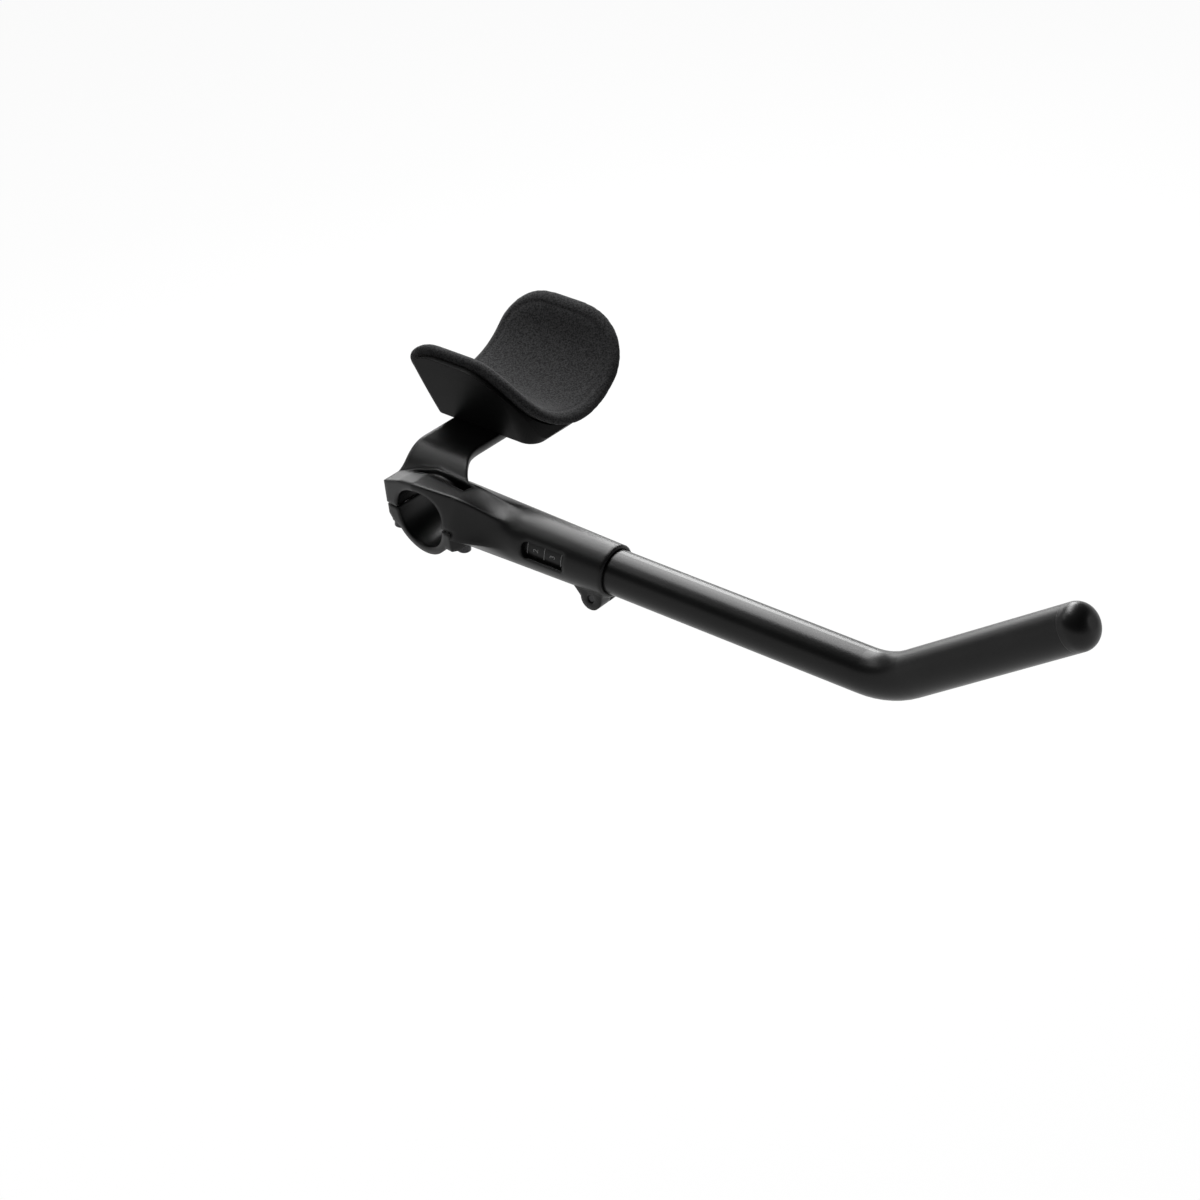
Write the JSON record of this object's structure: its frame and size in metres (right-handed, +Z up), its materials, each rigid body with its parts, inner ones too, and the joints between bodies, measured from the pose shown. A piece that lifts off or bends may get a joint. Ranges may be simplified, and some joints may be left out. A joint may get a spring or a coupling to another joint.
{
  "type": "aero handlebar extension",
  "caption": "Clip-on aero bar unit: a forged bracket clamps a round handlebar, its sleeve pinches a bent extension tube, and its arm carries a padded forearm cup.",
  "frame": {"origin": "centre line of the handlebar clamp's bore, where the extension's axis crosses it", "axes": "+X forward along the extension, +Y outboard along the handlebar (the rider's left), +Z up"},
  "size_m": [0.3982, 0.1316, 0.0931],
  "materials": {
    "anodised_alloy": "fine blasted, black anodised, satin",
    "tube_alloy": "black anodised, satin",
    "plug_plastic": "fine textured",
    "cup_plastic": "fine textured, satin",
    "pad_fabric": "fine knit over foam",
    "hook_tape": "woven hook tape",
    "black_steel": "black oxide"
  },
  "bodies": {
    "bracket": {"bracket_body": "anodised_alloy", "clamp_cap": "anodised_alloy", "armrest_cup": "cup_plastic", "armrest_pad": "pad_fabric", "hook_strip_inner": "hook_tape", "hook_strip_middle": "hook_tape", "hook_strip_outer": "hook_tape", "clamp_bolt_front_inner": "black_steel", "clamp_bolt_front_outer": "black_steel", "clamp_bolt_rear_inner": "black_steel", "clamp_bolt_rear_outer": "black_steel", "clamp_washer_front_inner": "black_steel", "clamp_washer_front_outer": "black_steel", "clamp_washer_rear_inner": "black_steel", "clamp_washer_rear_outer": "black_steel", "pinch_bolt": "black_steel", "armrest_bolt_rear": "black_steel", "armrest_bolt_front": "black_steel"},
    "extension": {"extension_tube": "tube_alloy", "end_plug": "plug_plastic"}
  },
  "joints": [
    {"name": "extension_slide", "type": "slide", "parent": "bracket", "child": "extension", "axis": [1, 0, 0], "range_m": [-0.012, 0.014]}
  ]
}
